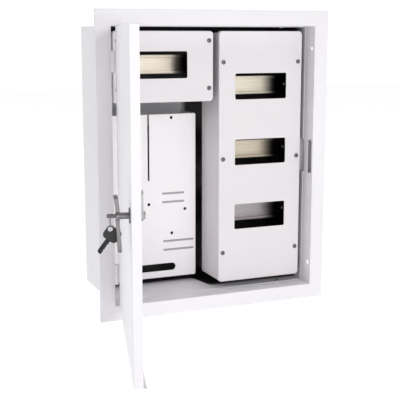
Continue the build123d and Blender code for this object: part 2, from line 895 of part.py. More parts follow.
# meter panel
def make_meter_panel():
    """One folded sheet: a front with slots and holes, two side legs and their feet."""
    y0 = panel_front_y
    panel = slab(rounded(panel_left, panel_right, panel_bottom, panel_top, panel_corner), y0, back_inside_y)
    panel = bend_front(panel, small_bend)
    foot_y = back_inside_y - panel_sheet
    panel -= block(
        panel_left + panel_sheet, panel_right - panel_sheet,
        y0 + panel_sheet, foot_y,
        panel_bottom + panel_sheet, panel_top - panel_sheet,
    )
    panel -= block(
        panel_left + panel_foot, panel_right - panel_foot,
        foot_y - 1, back_inside_y + 1,
        panel_bottom - 1, panel_top + 1,
    )
    for z0, z1 in ((panel_bottom - 1, panel_bottom + panel_sheet), (panel_top - panel_sheet, panel_top + 1)):
        panel -= block(
            panel_left + panel_sheet, panel_right - panel_sheet,
            y0 + panel_end_fold, back_inside_y + 1,
            z0, z1,
        )
    middle = (panel_left + panel_right) / 2
    through0 = y0 - 1
    through1 = y0 + panel_sheet + 1
    slot_z = panel_top + panel_slot_above_top - panel_slot_length / 2
    slot = Pos(middle, slot_z) * Rot(0, 0, 90) * SlotOverall(panel_slot_length, panel_slot_width)
    panel -= slab(slot, through0, y0 + panel_end_fold + 1)
    cable = Pos(middle, panel_bottom + cable_slot_from_bottom)
    panel -= slab(cable * SlotOverall(cable_slot_length, cable_slot_height), through0, through1)
    holes = [(middle, panel_top - panel_centre_hole_from_top)]
    for apart, z in (
        (panel_top_pair_apart, panel_top - panel_top_pair_from_top),
        (panel_wide_pair_apart, panel_bottom + panel_wide_pair_from_bottom),
        (panel_low_pair_apart, panel_bottom + panel_low_pair_from_bottom),
    ):
        holes += [(middle - apart / 2, z), (middle + apart / 2, z)]
    for x, z in holes:
        panel -= rod_y(panel_hole_radius, x, z, through0, through1)
    return panel


pieces = {
    "back_box": make_back_box(),
    "front_frame": make_front_frame(),
    "strike_pocket": make_strike_pocket(),
    "frame_screws": make_frame_screws(),
    "frame_nuts": make_frame_nuts(),
    "door_leaf": make_door_leaf(),
    "frame_hinges": make_frame_hinges(),
    "door_hinges": make_door_hinges(),
    "hinge_pins": make_hinge_pins(),
    "lock_body": make_lock_body(),
    "lock_nut": make_lock_nut(),
    "lock_plug": make_lock_plug(),
    "lock_lever": make_lock_lever(),
    "lock_cam": make_lock_cam(),
    "cam_screw": make_cam_screw(),
    "lock_key": make_lock_key(),
    "key_ring": make_key_ring(),
    "spare_key": make_spare_key(),
    "upper_cover": make_upper_cover(),
    "upper_cover_screws": make_cover_screws(upper_screw_places()),
    "right_cover": make_right_cover(),
    "right_cover_screws": make_cover_screws(right_screw_places()),
    "right_bay_left_upright": make_right_upright(1),
    "right_bay_right_upright": make_right_upright(-1),
    "upper_bay_left_upright": make_upper_upright(1),
    "upper_bay_right_upright": make_upper_upright(-1),
    "upper_rail": make_rail(upper_edges(), upper_row),
    "right_rail_top": make_rail(right_edges(), right_rows[0]),
    "right_rail_middle": make_rail(right_edges(), right_rows[1]),
    "right_rail_bottom": make_rail(right_edges(), right_rows[2]),
    "rail_screws": make_rail_screws(),
    "meter_panel": make_meter_panel(),
}

for name, piece in pieces.items():
    export_step(piece, "parts/" + name + ".step")
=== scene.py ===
import math

import bmesh
import bpy
from mathutils import Matrix, Vector


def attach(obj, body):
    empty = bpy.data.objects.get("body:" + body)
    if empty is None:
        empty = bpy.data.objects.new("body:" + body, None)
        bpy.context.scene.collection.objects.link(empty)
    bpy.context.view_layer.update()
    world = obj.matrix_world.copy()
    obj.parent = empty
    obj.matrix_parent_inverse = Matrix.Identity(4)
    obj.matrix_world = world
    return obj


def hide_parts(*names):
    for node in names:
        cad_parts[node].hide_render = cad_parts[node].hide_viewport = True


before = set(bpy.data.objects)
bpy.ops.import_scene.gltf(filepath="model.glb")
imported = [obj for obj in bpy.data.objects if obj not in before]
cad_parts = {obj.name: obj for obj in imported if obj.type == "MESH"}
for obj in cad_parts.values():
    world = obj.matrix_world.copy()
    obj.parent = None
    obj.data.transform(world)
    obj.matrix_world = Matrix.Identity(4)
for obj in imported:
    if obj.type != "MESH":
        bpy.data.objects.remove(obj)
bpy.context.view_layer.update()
mm = 0.001  # the model is in metres, the sizes below are in millimetres
print("frame loaded:", len(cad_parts), "nodes")


def hexColour(code):
    # sRGB hex to the linear values that a shader takes
    values = [int(code[i:i + 2], 16) / 255 for i in (1, 3, 5)]
    return [v / 12.92 if v <= 0.04045 else ((v + 0.055) / 1.055) ** 2.4 for v in values] + [1.0]


def addNode(tree, kind, settings=None, inputs=None):
    # one node with its settings, its values and its links
    node = tree.nodes.new(kind)
    for key, value in (settings or {}).items():
        setattr(node, key, value)
    for key, value in (inputs or {}).items():
        if isinstance(value, bpy.types.NodeSocket):
            tree.links.new(value, node.inputs[key])
        else:
            node.inputs[key].default_value = value
    return node


def startMaterial(name):
    material = bpy.data.materials.new(name)
    material.use_nodes = True
    tree = material.node_tree
    tree.nodes.clear()
    place = addNode(tree, "ShaderNodeTexCoord").outputs["Object"]
    return material, tree, place


def finishMaterial(tree, shader):
    addNode(tree, "ShaderNodeOutputMaterial", inputs={"Surface": shader.outputs["BSDF"]})


# camera, at the photograph's place and angle
cameraSetup = {
    "place": (-0.6753, -1.7243, 0.2331),
    "down": 10.226,  # degrees below level
    "aside": 22.721,  # degrees turned to the right of straight in
    "lens": 81.63,
    "sensor": 36.0,
}
cameraData = bpy.data.cameras.new("photoCamera")
cameraData.sensor_width = cameraSetup["sensor"]
cameraData.lens = cameraSetup["lens"]
camera = bpy.data.objects.new("photoCamera", cameraData)
camera.location = cameraSetup["place"]
camera.rotation_euler = (math.radians(90 - cameraSetup["down"]), 0, math.radians(-cameraSetup["aside"]))
bpy.context.collection.objects.link(camera)
bpy.context.scene.camera = camera
print("camera set")


# light and surroundings
studio = {
    "surroundColour": "#FFFFFF",
    "behind": 1.05,  # the white studio wall behind the object
    "before": 0.22,  # the dimmer room in front of it
    "turnOver": (0.0, 0.45),  # between which shares of straight in the one becomes the other
    "keyPlace": (0.45, -3.2, 0.86),
    "keySize": 1.1,
    "keyPower": 25.0,
    "fillPlace": (-0.9, -3.0, 0.04),
    "fillSize": 1.0,
    "fillPower": 10.0,
    "topPlace": (0.0, -0.8, 3.2),
    "topSize": 2.2,
    "topPower": 24.0,
    "aim": (0.0, -0.1, 0.0),
    "floorLevel": -0.2805,
    "floorSize": 14.0,
    "floorColours": ("#F4F4F5", "#FAFAFA"),
    "floorCloud": 2.0,  # clouds a metre
    "floorRoughness": 0.9,
    "floorGlow": 0.47,
}
scene = bpy.context.scene
scene.view_settings.view_transform = "Standard"
world = bpy.data.worlds.new("studio")
world.use_nodes = True
surround = world.node_tree
surround.nodes.clear()
direction = addNode(surround, "ShaderNodeTexCoord").outputs["Generated"]
inward = addNode(surround, "ShaderNodeSeparateXYZ", inputs={"Vector": direction}).outputs["Y"]
strength = addNode(surround, "ShaderNodeMapRange", {"interpolation_type": "SMOOTHSTEP"}, {
    "Value": inward, "From Min": studio["turnOver"][0], "From Max": studio["turnOver"][1],
    "To Min": studio["before"], "To Max": studio["behind"],
})
glow = addNode(surround, "ShaderNodeBackground", inputs={
    "Color": hexColour(studio["surroundColour"]), "Strength": strength.outputs["Result"],
})
addNode(surround, "ShaderNodeOutputWorld", inputs={"Surface": glow.outputs["Background"]})
scene.world = world


def addSoftLight(name, place, size, power):
    lamp = bpy.data.lights.new(name, "AREA")
    lamp.shape = "DISK"
    lamp.size = size
    lamp.energy = power
    light = bpy.data.objects.new(name, lamp)
    light.location = place
    toAim = Vector(studio["aim"]) - Vector(place)
    light.rotation_euler = toAim.to_track_quat("-Z", "Y").to_euler()
    light.visible_camera = False
    bpy.context.collection.objects.link(light)


addSoftLight("keyLight", studio["keyPlace"], studio["keySize"], studio["keyPower"])
addSoftLight("fillLight", studio["fillPlace"], studio["fillSize"], studio["fillPower"])
addSoftLight("topLight", studio["topPlace"], studio["topSize"], studio["topPower"])


def opalFloor():
    # white opal acrylic, lit a little from behind: an even pale ground that takes only a soft shadow
    material, tree, place = startMaterial("opalAcrylic")
    cloud = addNode(tree, "ShaderNodeTexNoise", inputs={
        "Vector": place, "Scale": studio["floorCloud"], "Detail": 2.0,
    })
    tint = addNode(tree, "ShaderNodeMix", {"data_type": "RGBA"}, {
        "Factor": cloud.outputs["Fac"],
        "A": hexColour(studio["floorColours"][0]),
        "B": hexColour(studio["floorColours"][1]),
    })
    shader = addNode(tree, "ShaderNodeBsdfPrincipled", inputs={
        "Base Color": tint.outputs["Result"], "Roughness": studio["floorRoughness"],
        "Emission Color": hexColour("#FFFFFF"), "Emission Strength": studio["floorGlow"],
    })
    finishMaterial(tree, shader)
    return material


floorShape = bmesh.new()
bmesh.ops.create_grid(floorShape, x_segments=1, y_segments=1, size=studio["floorSize"] / 2)
bmesh.ops.translate(floorShape, vec=(0, 0, studio["floorLevel"]), verts=floorShape.verts)
floorMesh = bpy.data.meshes.new("floor")
floorShape.to_mesh(floorMesh)
floorShape.free()
floorMesh.materials.append(opalFloor())
floor = bpy.data.objects.new("floor", floorMesh)
bpy.context.collection.objects.link(floor)
print("studio set")


# finishes
paint = {
    "white": ("#F3F1F4", "#EAE8EC"),  # each coat's lighter and darker tint
    # the covers' greyer white is painted shade for their recess: a darker copy of the one white coat
    "cover": ("#E9E5E7", "#E0DCDF"),
    # the panel's brighter white is painted light for its deep recess: a lighter copy of the one white coat
    "panel": ("#FFFCFE", "#F9F6F8"),
    "box": ("#F1EFF2", "#E8E6EA"),
    # the uprights' near-black tint is painted shade, which keeps the right of each window dark
    "upright": ("#4A494B", "#3E3D3F"),
    "patch": 170.0,  # mm, slow drift of the tint over a sheet
    "peel": 4.0,  # mm; the real ripple is about 1 mm, too fine to show at this size
    "peelHeight": 0.05,
    "peelStrength": 0.25,
    "roughness": (0.34, 0.44),
}


def ramp(tree, value, start, end):
    # 0 before start and 1 after end, in millimetres, with a soft change between
    return addNode(tree, "ShaderNodeMapRange", {"interpolation_type": "SMOOTHSTEP"}, {
        "Value": value, "From Min": start * mm, "From Max": end * mm,
    }).outputs["Result"]


def combine(tree, operation, *values):
    return addNode(tree, "ShaderNodeMath", {"operation": operation}, dict(enumerate(values))).outputs["Value"]


paintedShadeZones = {
    # each pair gives where the box's own white is full and where the painted shade is full, in mm
    "right": (-2.0, 16.0),  # in X, towards the right bay
    "upper": (102.0, 116.0),  # in Z, towards the upper bay
    "panel": (62.0, 54.0),  # in Z, behind the meter panel
    "corner": (80.0, 72.0),  # in Z, the same beside the right bay, where the painted shade starts higher up
    "cornerFrom": (-28.0, -18.0),  # in X, where that corner begins
    "lower": (-246.0, -236.0),  # in Z, up from the bottom wall
    "deep": (-158.0, -118.0),  # in Y, from the rim inwards
    "floorDeep": (-78.0, -60.0),  # the same on the bottom wall, where the painted shade starts further in
    "floorShift": 66.0,  # mm, how much nearer to the rim the bottom wall's painted shade starts in the right bay
    "skin": 201.1,  # mm in X, between the side walls' inner and outer faces
    "skinUp": 251.1,  # mm in Z, the same in the top and bottom walls
    "skinBack": -0.6,  # mm in Y, the same in the back wall
    "leftWall": (-197.0, -190.0),  # in X: the left wall gets no painted shade
    # the near-black tint of the painted shade
    "primer": "#191819",
}


def paintedBayShade(tree, place):
    # painted shade: the box's inside, behind the covers and the meter panel, is darkened towards a near-black
    # tint where shade falls
    axes = addNode(tree, "ShaderNodeSeparateXYZ", inputs={"Vector": place}).outputs
    rightBay = ramp(tree, axes["X"], *paintedShadeZones["right"])
    shadeMask = rightBay
    cornerUp = ramp(tree, axes["Z"], *paintedShadeZones["corner"])
    corner = combine(tree, "MULTIPLY", cornerUp, ramp(tree, axes["X"], *paintedShadeZones["cornerFrom"]))
    upper, panel = (ramp(tree, axes["Z"], *paintedShadeZones[part]) for part in ("upper", "panel"))
    for part in (upper, panel, corner):
        shadeMask = combine(tree, "MAXIMUM", shadeMask, part)
    shift = combine(tree, "MULTIPLY", rightBay, paintedShadeZones["floorShift"] * mm)
    floorDepth = combine(tree, "ADD", axes["Y"], shift)
    floorShade = ramp(tree, floorDepth, *paintedShadeZones["floorDeep"])
    aboveFloor = combine(tree, "MAXIMUM", ramp(tree, axes["Z"], *paintedShadeZones["lower"]), floorShade)
    deep = ramp(tree, axes["Y"], *paintedShadeZones["deep"])
    awayFromLeft = ramp(tree, axes["X"], *paintedShadeZones["leftWall"])
    for part in (aboveFloor, deep, awayFromLeft):
        shadeMask = combine(tree, "MULTIPLY", shadeMask, part)
    for axis, skin in (("X", paintedShadeZones["skin"]), ("Z", paintedShadeZones["skinUp"])):
        inside = combine(tree, "LESS_THAN", combine(tree, "ABSOLUTE", axes[axis]), skin * mm)
        shadeMask = combine(tree, "MULTIPLY", shadeMask, inside)
    inFront = combine(tree, "LESS_THAN", axes["Y"], paintedShadeZones["skinBack"] * mm)
    return combine(tree, "MULTIPLY", shadeMask, inFront)


def powderCoat(name, light, dark, shaded=False):
    # polyester powder coat, sprayed and baked: near white, half gloss, with a faint orange-peel ripple
    material, tree, place = startMaterial(name)
    drift = addNode(tree, "ShaderNodeTexNoise", inputs={
        "Vector": place, "Scale": 1 / (paint["patch"] * mm), "Detail": 2.0,
    })
    tint = addNode(tree, "ShaderNodeMix", {"data_type": "RGBA"}, {
        "Factor": drift.outputs["Fac"], "A": hexColour(dark), "B": hexColour(light),
    })
    # painted shade: the box's white darkens where the covers and the panel shade its inside
    if shaded:
        tint = addNode(tree, "ShaderNodeMix", {"data_type": "RGBA"}, {
            "Factor": paintedBayShade(tree, place), "A": tint.outputs["Result"],
            "B": hexColour(paintedShadeZones["primer"]),
        })
    peel = addNode(tree, "ShaderNodeTexNoise", inputs={
        "Vector": place, "Scale": 1 / (paint["peel"] * mm), "Detail": 1.0,
    })
    gloss = addNode(tree, "ShaderNodeMapRange", inputs={
        "Value": peel.outputs["Fac"],
        "To Min": paint["roughness"][0], "To Max": paint["roughness"][1],
    })
    ripple = addNode(tree, "ShaderNodeBump", inputs={
        "Height": peel.outputs["Fac"], "Strength": paint["peelStrength"],
        "Distance": paint["peelHeight"] * mm,
    })
    shader = addNode(tree, "ShaderNodeBsdfPrincipled", inputs={
        "Base Color": tint.outputs["Result"],
        "Roughness": gloss.outputs["Result"],
        "Normal": ripple.outputs["Normal"],
    })
    finishMaterial(tree, shader)
    return material


plating = {"crystalDetail": 3.0, "reliefStrength": 0.3}


def platedMetal(name, light, dark, patch, stretch, roughness, relief, shadowRamp=None):
    # a plated steel surface: patch is the size of its crystals or streaks in mm, stretched along X;
    # the last argument gives the two places in mm between which a painted shadow darkens it towards +X, and
    # the shadow's colour
    material, tree, place = startMaterial(name)
    run = addNode(tree, "ShaderNodeMapping", inputs={"Vector": place, "Scale": (1 / stretch, 1.0, 1.0)})
    crystals = addNode(tree, "ShaderNodeTexNoise", inputs={
        "Vector": run.outputs["Vector"], "Scale": 1 / (patch * mm), "Detail": plating["crystalDetail"],
    })
    tint = addNode(tree, "ShaderNodeMix", {"data_type": "RGBA"}, {
        "Factor": crystals.outputs["Fac"], "A": hexColour(dark), "B": hexColour(light),
    })
    # painted shadow: the rail darkens towards +X
    if shadowRamp:
        along = addNode(tree, "ShaderNodeSeparateXYZ", inputs={"Vector": place}).outputs["X"]
        tint = addNode(tree, "ShaderNodeMix", {"data_type": "RGBA"}, {
            "Factor": ramp(tree, along, *shadowRamp[:2]), "A": tint.outputs["Result"], "B": hexColour(shadowRamp[2]),
        })
    gloss = addNode(tree, "ShaderNodeMapRange", inputs={
        "Value": crystals.outputs["Fac"], "To Min": roughness[0], "To Max": roughness[1],
    })
    grain = addNode(tree, "ShaderNodeBump", inputs={
        "Height": crystals.outputs["Fac"], "Strength": plating["reliefStrength"], "Distance": relief * mm,
    })
    shader = addNode(tree, "ShaderNodeBsdfPrincipled", inputs={
        "Base Color": tint.outputs["Result"],
        "Metallic": 1.0,
        "Roughness": gloss.outputs["Result"],
        "Normal": grain.outputs["Normal"],
    })
    finishMaterial(tree, shader)
    return material


whiteCoat = powderCoat("whitePowderCoat", *paint["white"])
# painted shade: the covers' white made greyer than the frame's
coverShadedCoat = powderCoat("coverPowderCoatShaded", *paint["cover"])
# painted light: the panel's white made brighter than the frame's
panelLitCoat = powderCoat("panelPowderCoatLit", *paint["panel"])
# the box's coat carries painted shade inside its bays
boxShadedCoat = powderCoat("boxPowderCoatPaintedShade", *paint["box"], shaded=True)
# painted shade: near-black uprights behind the windows
uprightShadeCoat = powderCoat("uprightPaintedShadeCoat", *paint["upright"])
# yellow-passivated zinc, rolled strip: a warm cream sheen, streaked along the rail, with a painted shadow
# darkening it to the right
rolledZinc = {"patch": 2.6, "stretch": 14.0, "relief": 0.03}
shadowTint = "#1C1A19"
# each rail's tint is a lighter or darker copy of one zinc for how much light reaches its window: painted
# light and shade, the bottom rail's grey being painted shade
railCoats = {
    "upper_rail": platedMetal(
        "yellowZincUpper", "#E2DBD0", "#C0B6A5",
        roughness=(0.34, 0.48), shadowRamp=(-66.0, -34.0, shadowTint), **rolledZinc,
    ),
    "right_rail_top": platedMetal(
        "yellowZincTop", "#F6F0E2", "#DACFB8",
        roughness=(0.34, 0.48), shadowRamp=(126.0, 162.0, shadowTint), **rolledZinc,
    ),
    "right_rail_middle": platedMetal(
        "yellowZincMiddle", "#E9DFCE", "#C8BBA4",
        roughness=(0.36, 0.50), shadowRamp=(122.0, 160.0, shadowTint), **rolledZinc,
    ),
    "right_rail_bottom": platedMetal(
        "yellowZincBottomShaded", "#CFC8C9", "#A19A9D",
        roughness=(0.38, 0.52), shadowRamp=(126.0, 166.0, shadowTint), **rolledZinc,
    ),
}
finePlate = {"stretch": 1.0, "relief": 0.01}
# bright zinc on small fasteners: a light bluish grey, slightly cloudy
brightZinc = platedMetal(
    "brightZinc", "#C9CCD0", "#A3A7AC", patch=1.5, roughness=(0.28, 0.42), **finePlate
)
# black-passivated zinc screws, worn to a satin grey, so they read as dots on the white sheet
blackZinc = platedMetal(
    "blackPassivatedZinc", "#858388", "#67656A", patch=1.2, roughness=(0.35, 0.50), **finePlate
)
# black-oxide steel of the spare key's blade: almost black, with a dull sheen
blackSteel = platedMetal(
    "blackOxideSteel", "#3A393B", "#29282A", patch=1.5, roughness=(0.38, 0.52), **finePlate
)
# nickel plate on die-cast zinc: a mid grey metal with a soft polish
nickelPlate = platedMetal(
    "satinNickel", "#A9A8A8", "#8C8B8C", patch=2.0, roughness=(0.24, 0.34), **finePlate
)
# smoked nickel of the lever and the lock: the same plate, darkened to a warm grey
smokedNickel = platedMetal(
    "smokedNickel", "#878486", "#6F6C6E", patch=2.0, roughness=(0.34, 0.46), **finePlate
)


plastic = {
    "grain": 0.9,  # mm; the real grain of 0.1 mm would not show
    "grainHeight": 0.04,
    "grainStrength": 0.4,
    "ior": 1.54,  # ABS
}


def mouldedPlastic(name, light, dark, roughness):
    # injection-moulded ABS with a fine spark-eroded grain: soft, slightly uneven gloss
    material, tree, place = startMaterial(name)
    grain = addNode(tree, "ShaderNodeTexNoise", inputs={
        "Vector": place, "Scale": 1 / (plastic["grain"] * mm), "Detail": 2.0,
    })
    tint = addNode(tree, "ShaderNodeMix", {"data_type": "RGBA"}, {
        "Factor": grain.outputs["Fac"], "A": hexColour(dark), "B": hexColour(light),
    })
    gloss = addNode(tree, "ShaderNodeMapRange", inputs={
        "Value": grain.outputs["Fac"], "To Min": roughness[0], "To Max": roughness[1],
    })
    relief = addNode(tree, "ShaderNodeBump", inputs={
        "Height": grain.outputs["Fac"], "Strength": plastic["grainStrength"],
        "Distance": plastic["grainHeight"] * mm,
    })
    shader = addNode(tree, "ShaderNodeBsdfPrincipled", inputs={
        "Base Color": tint.outputs["Result"],
        "Roughness": gloss.outputs["Result"],
        "Normal": relief.outputs["Normal"],
        "IOR": plastic["ior"],
    })
    finishMaterial(tree, shader)
    return material


blackPlastic = mouldedPlastic("blackAbs", "#161417", "#0C0B0D", roughness=(0.40, 0.54))
greyPlastic = mouldedPlastic("greyAbs", "#5F5C5C", "#4E4B4B", roughness=(0.34, 0.48))
# screen-printed ink: flat, matt grey, a little thin in places
greyInk = mouldedPlastic("greyScreenInk", "#B2ACAF", "#9D989B", roughness=(0.55, 0.70))
print("finishes made")

finishes = {
    "back_box": boxShadedCoat, "front_frame": whiteCoat, "strike_pocket": whiteCoat,
    "frame_screws": brightZinc, "frame_nuts": brightZinc,
    "door_leaf": whiteCoat, "frame_hinges": whiteCoat, "door_hinges": whiteCoat, "hinge_pins": brightZinc,
    "lock_body": smokedNickel, "lock_nut": nickelPlate, "lock_plug": smokedNickel, "lock_lever": smokedNickel,
    "lock_cam": nickelPlate, "cam_screw": nickelPlate, "lock_key": nickelPlate, "key_ring": nickelPlate,
    "spare_key": blackSteel,
    "upper_cover": coverShadedCoat, "upper_cover_screws": blackZinc,
    "right_cover": coverShadedCoat, "right_cover_screws": blackZinc,
    "right_bay_left_upright": uprightShadeCoat, "right_bay_right_upright": uprightShadeCoat,
    "upper_bay_left_upright": uprightShadeCoat, "upper_bay_right_upright": uprightShadeCoat,
    "rail_screws": brightZinc, "meter_panel": panelLitCoat, **railCoats,
}
for nodeName, finish in finishes.items():
    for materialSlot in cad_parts[nodeName].material_slots:
        materialSlot.material = finish
print("finishes laid on", len(finishes), "nodes")

# shaping
sharpAngle = math.radians(38)  # edges turned further than this stay hard
doorSwing = {"hinge": (-200.3, -199.6, 0.0), "open": 105.0}  # mm and degrees, as the solids stand


def swingDoor():
    # from the closed door, where its pieces are drawn, to where it stands open
    hinge = Matrix.Translation(doorSwing["hinge"])
    return hinge @ Matrix.Rotation(math.radians(-doorSwing["open"]), 4, "Z") @ hinge.inverted()


def turned(degrees, axis):
    return Matrix.Rotation(math.radians(degrees), 4, axis)


def addBlock(shape, size, place, turn=0.0):
    # a box of that size in millimetres, turned about Z
    matrix = Matrix.Translation(place) @ turned(turn, "Z") @ Matrix.Diagonal((*size, 1.0))
    bmesh.ops.create_cube(shape, size=1.0, matrix=matrix)


def cutAway(shape, cutter):
    # takes one closed shape out of another
    objects = []
    for part in (shape, cutter):
        mesh = bpy.data.meshes.new("cutting")
        part.to_mesh(mesh)
        part.free()
        objects.append(bpy.data.objects.new("cutting", mesh))
        bpy.context.collection.objects.link(objects[-1])
    cut = objects[0].modifiers.new("cut", "BOOLEAN")
    cut.object = objects[1]
    cut.operation = "DIFFERENCE"
    cut.solver = "EXACT"
    cut.use_self = True
    left = bmesh.new()
    left.from_mesh(objects[0].evaluated_get(bpy.context.evaluated_depsgraph_get()).data)
    for item in objects:
        mesh = item.data
        bpy.data.objects.remove(item)
        bpy.data.meshes.remove(mesh)
    return left


def roundEdges(shape, edges, size, steps):
    bmesh.ops.bevel(
        shape, geom=edges, offset=size, offset_type="OFFSET", segments=steps, profile=0.5,
        affect="EDGES", material=-1, clamp_overlap=True,
    )


def alongAxis(edge, axis):
    # how far the edge runs along X, Y or Z
    return abs(edge.verts[0].co[axis] - edge.verts[1].co[axis])


def copies(shape, places):
    # one shape at several places, joined in one mesh
    single = bpy.data.meshes.new("single")
    shape.to_mesh(single)
    shape.free()
    group = bmesh.new()
    for place in places:
        done = len(group.verts)
        group.from_mesh(single)
        group.verts.ensure_lookup_table()
        bmesh.ops.transform(group, matrix=place, verts=group.verts[done:])
    bpy.data.meshes.remove(single)
    return group


def finishPiece(name, shape, coats, body, nodes):
    # a shape in millimetres becomes a piece that rides on its body and stands for its CAD nodes
    bmesh.ops.scale(shape, vec=(mm, mm, mm), verts=shape.verts)
    mesh = bpy.data.meshes.new(name)
    shape.to_mesh(mesh)
    shape.free()
    for coat in coats:
        mesh.materials.append(coat)
    mesh.shade_smooth()
    mesh.set_sharp_from_angle(angle=sharpAngle)
    piece = bpy.data.objects.new(name, mesh)
    bpy.context.collection.objects.link(piece)
    even = piece.modifiers.new("evenShading", "WEIGHTED_NORMAL")
    even.keep_sharp = True
    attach(piece, body)
    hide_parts(*nodes)


# where the rails run: their ends and screws in X and their row in Z
upperBay = {"ends": (-185.7, 0.2), "screws": (-179.8, -5.7)}
rightBay = {"ends": (20.8, 186.7), "screws": (26.7, 180.8)}
rails = {
    "upperRail": {"node": "upper_rail", "row": 182.0, **upperBay},
    "rightRailTop": {"node": "right_rail_top", "row": 140.0, **rightBay},
    "rightRailMiddle": {"node": "right_rail_middle", "row": 15.0, **rightBay},
    "rightRailBottom": {"node": "right_rail_bottom", "row": -110.0, **rightBay},
}


# cross-recess screws; a size is the head's radius and height and the shank's radius and length
crossRecess = {
    "reach": 0.60,  # share of the head's radius
    "width": 0.24,
    "depth": 0.62,  # share of the head's height
    "taper": 0.55,
    "sides": 28,
    "firstTurn": 17,  # degrees; each screw stopped where it was tight, so the crosses differ
    "nextTurn": 53,
}


def screwShape(headRadius, head, shankRadius, length):
    # a pan head with its seat at the origin and its shank along +Y
    dome = [(0.0, 1.0), (0.45, 0.97), (0.74, 0.84), (0.92, 0.58), (1.0, 0.28), (1.0, 0.0)]
    outline = [(out * headRadius, -up * head) for out, up in dome]
    outline += [
        (shankRadius, 0.0), (shankRadius, length - 0.6 * shankRadius),
        (0.5 * shankRadius, length), (0.0, length),
    ]
    screw = bmesh.new()
    points = [screw.verts.new((x, y, 0.0)) for x, y in outline]
    lines = [screw.edges.new(pair) for pair in zip(points, points[1:])]
    bmesh.ops.spin(
        screw, geom=points + lines, cent=(0, 0, 0), axis=(0, 1, 0), dvec=(0, 0, 0),
        angle=math.tau, steps=crossRecess["sides"], use_merge=True,
    )
    bmesh.ops.remove_doubles(screw, verts=screw.verts, dist=0.0001)
    bmesh.ops.recalc_face_normals(screw, faces=screw.faces)

    width = crossRecess["width"] * headRadius
    driver = bmesh.new()
    addBlock(driver, (width, 2 * crossRecess["depth"] * head, width), (0, 0, 0))
    sides = [face for face in driver.faces if abs(face.normal.y) < 0.5]
    arms = bmesh.ops.extrude_discrete_faces(driver, faces=sides)["faces"]
    for face in arms:
        reach = crossRecess["reach"] * headRadius - width / 2
        bmesh.ops.translate(driver, vec=face.normal * reach, verts=face.verts)
    deep = [vert for vert in driver.verts if vert.co.y > 0]
    bmesh.ops.scale(driver, vec=(crossRecess["taper"], 1, crossRecess["taper"]), verts=deep)
    bmesh.ops.translate(driver, vec=(0, -head, 0), verts=driver.verts)
    return cutAway(screw, driver)


coverScrew = {"seat": -165.0, "size": (4.2, 2.4, 2.0, 9.0), "coat": blackZinc}
screws = {
    "upperCoverScrews": {
        "node": "upper_cover_screws", **coverScrew,
        "places": [(x, z) for x in (-181.4, -4.1) for z in (138.5, 225.5)],
    },
    "rightCoverScrews": {
        "node": "right_cover_screws", **coverScrew,
        "places": [(x, z) for x in (25.1, 182.4) for z in (-179.5, 3.0, 185.5)],
    },
    "railScrews": {
        "node": "rail_screws", "seat": -113.5, "size": (3.6, 2.0, 1.9, 7.0), "coat": brightZinc,
        "places": [(x, rail["row"]) for rail in rails.values() for x in rail["screws"]],
    },
}
for name, setup in screws.items():
    spots = []
    for number, (x, z) in enumerate(setup["places"]):
        turn = crossRecess["firstTurn"] + crossRecess["nextTurn"] * number
        spots.append(Matrix.Translation((x, setup["seat"], z)) @ turned(turn, "Y"))
    group = copies(screwShape(*setup["size"]), spots)
    finishPiece(name, group, [setup["coat"]], "enclosure", [setup["node"]])

frameScrews = {
    "apart": 150.0,  # from the enclosure's middle
    "depth": -154.0,
    "seat": 250.5,
    "size": (4.5, 2.2, 2.4, 9.0),
    "turn": 150,  # degrees, of the cross on its screw
}
spots = []
for aside in (-1, 1):
    for up in (1, -1):
        place = (aside * frameScrews["apart"], frameScrews["depth"], up * frameScrews["seat"])
        turn = turned(up * 90, "X") @ turned(aside * frameScrews["turn"], "Y")
        spots.append(Matrix.Translation(place) @ turn)
group = copies(screwShape(*frameScrews["size"]), spots)
finishPiece("frameScrews", group, [brightZinc], "enclosure", ["frame_screws"])
print("screws made")


# plain top-hat rails: the photograph shows no slots in their webs
railForm = {
    "front": -120.0,
    "back": -112.5,
    "sheet": 1.0,
    "brim": 17.5,  # from the rail's middle to its edge
    "hat": 13.5,  # from the middle to the outside of the channel
    "bend": 0.45,
    "screwHole": 2.0,
}


def railShape(setup):
    front, back, sheet = railForm["front"], railForm["back"], railForm["sheet"]
    brim, hat = railForm["brim"], railForm["hat"]
    inside = [(front, brim), (front, hat - sheet), (back - sheet, hat - sheet)]
    outside = [(back, hat), (front + sheet, hat), (front + sheet, brim)]
    section = inside + [(y, -z) for y, z in reversed(inside)]
    section += [(y, -z) for y, z in reversed(outside)] + outside
    start, end = setup["ends"]
    rail = bmesh.new()
    corners = [rail.verts.new((start, y, setup["row"] + z)) for y, z in section]
    side = rail.faces.new(corners)
    pulled = bmesh.ops.extrude_face_region(rail, geom=[side])["geom"]
    moved = [item for item in pulled if isinstance(item, bmesh.types.BMVert)]
    bmesh.ops.translate(rail, vec=(end - start, 0, 0), verts=moved)
    bmesh.ops.recalc_face_normals(rail, faces=rail.faces)
    roundEdges(rail, [edge for edge in rail.edges if alongAxis(edge, 0) > 1], railForm["bend"], 2)
    holes = bmesh.new()
    for x in setup["screws"]:
        place = Matrix.Translation((x, back - sheet / 2, setup["row"])) @ turned(90, "X")
        bmesh.ops.create_cone(
            holes, cap_ends=True, segments=24, radius1=railForm["screwHole"], radius2=railForm["screwHole"],
            depth=4 * sheet, matrix=place,
        )
    return cutAway(rail, holes)


for name, setup in rails.items():
    coat = railCoats[setup["node"]]
    finishPiece(name, railShape(setup), [coat], "enclosure", [setup["node"]])
print("rails made")


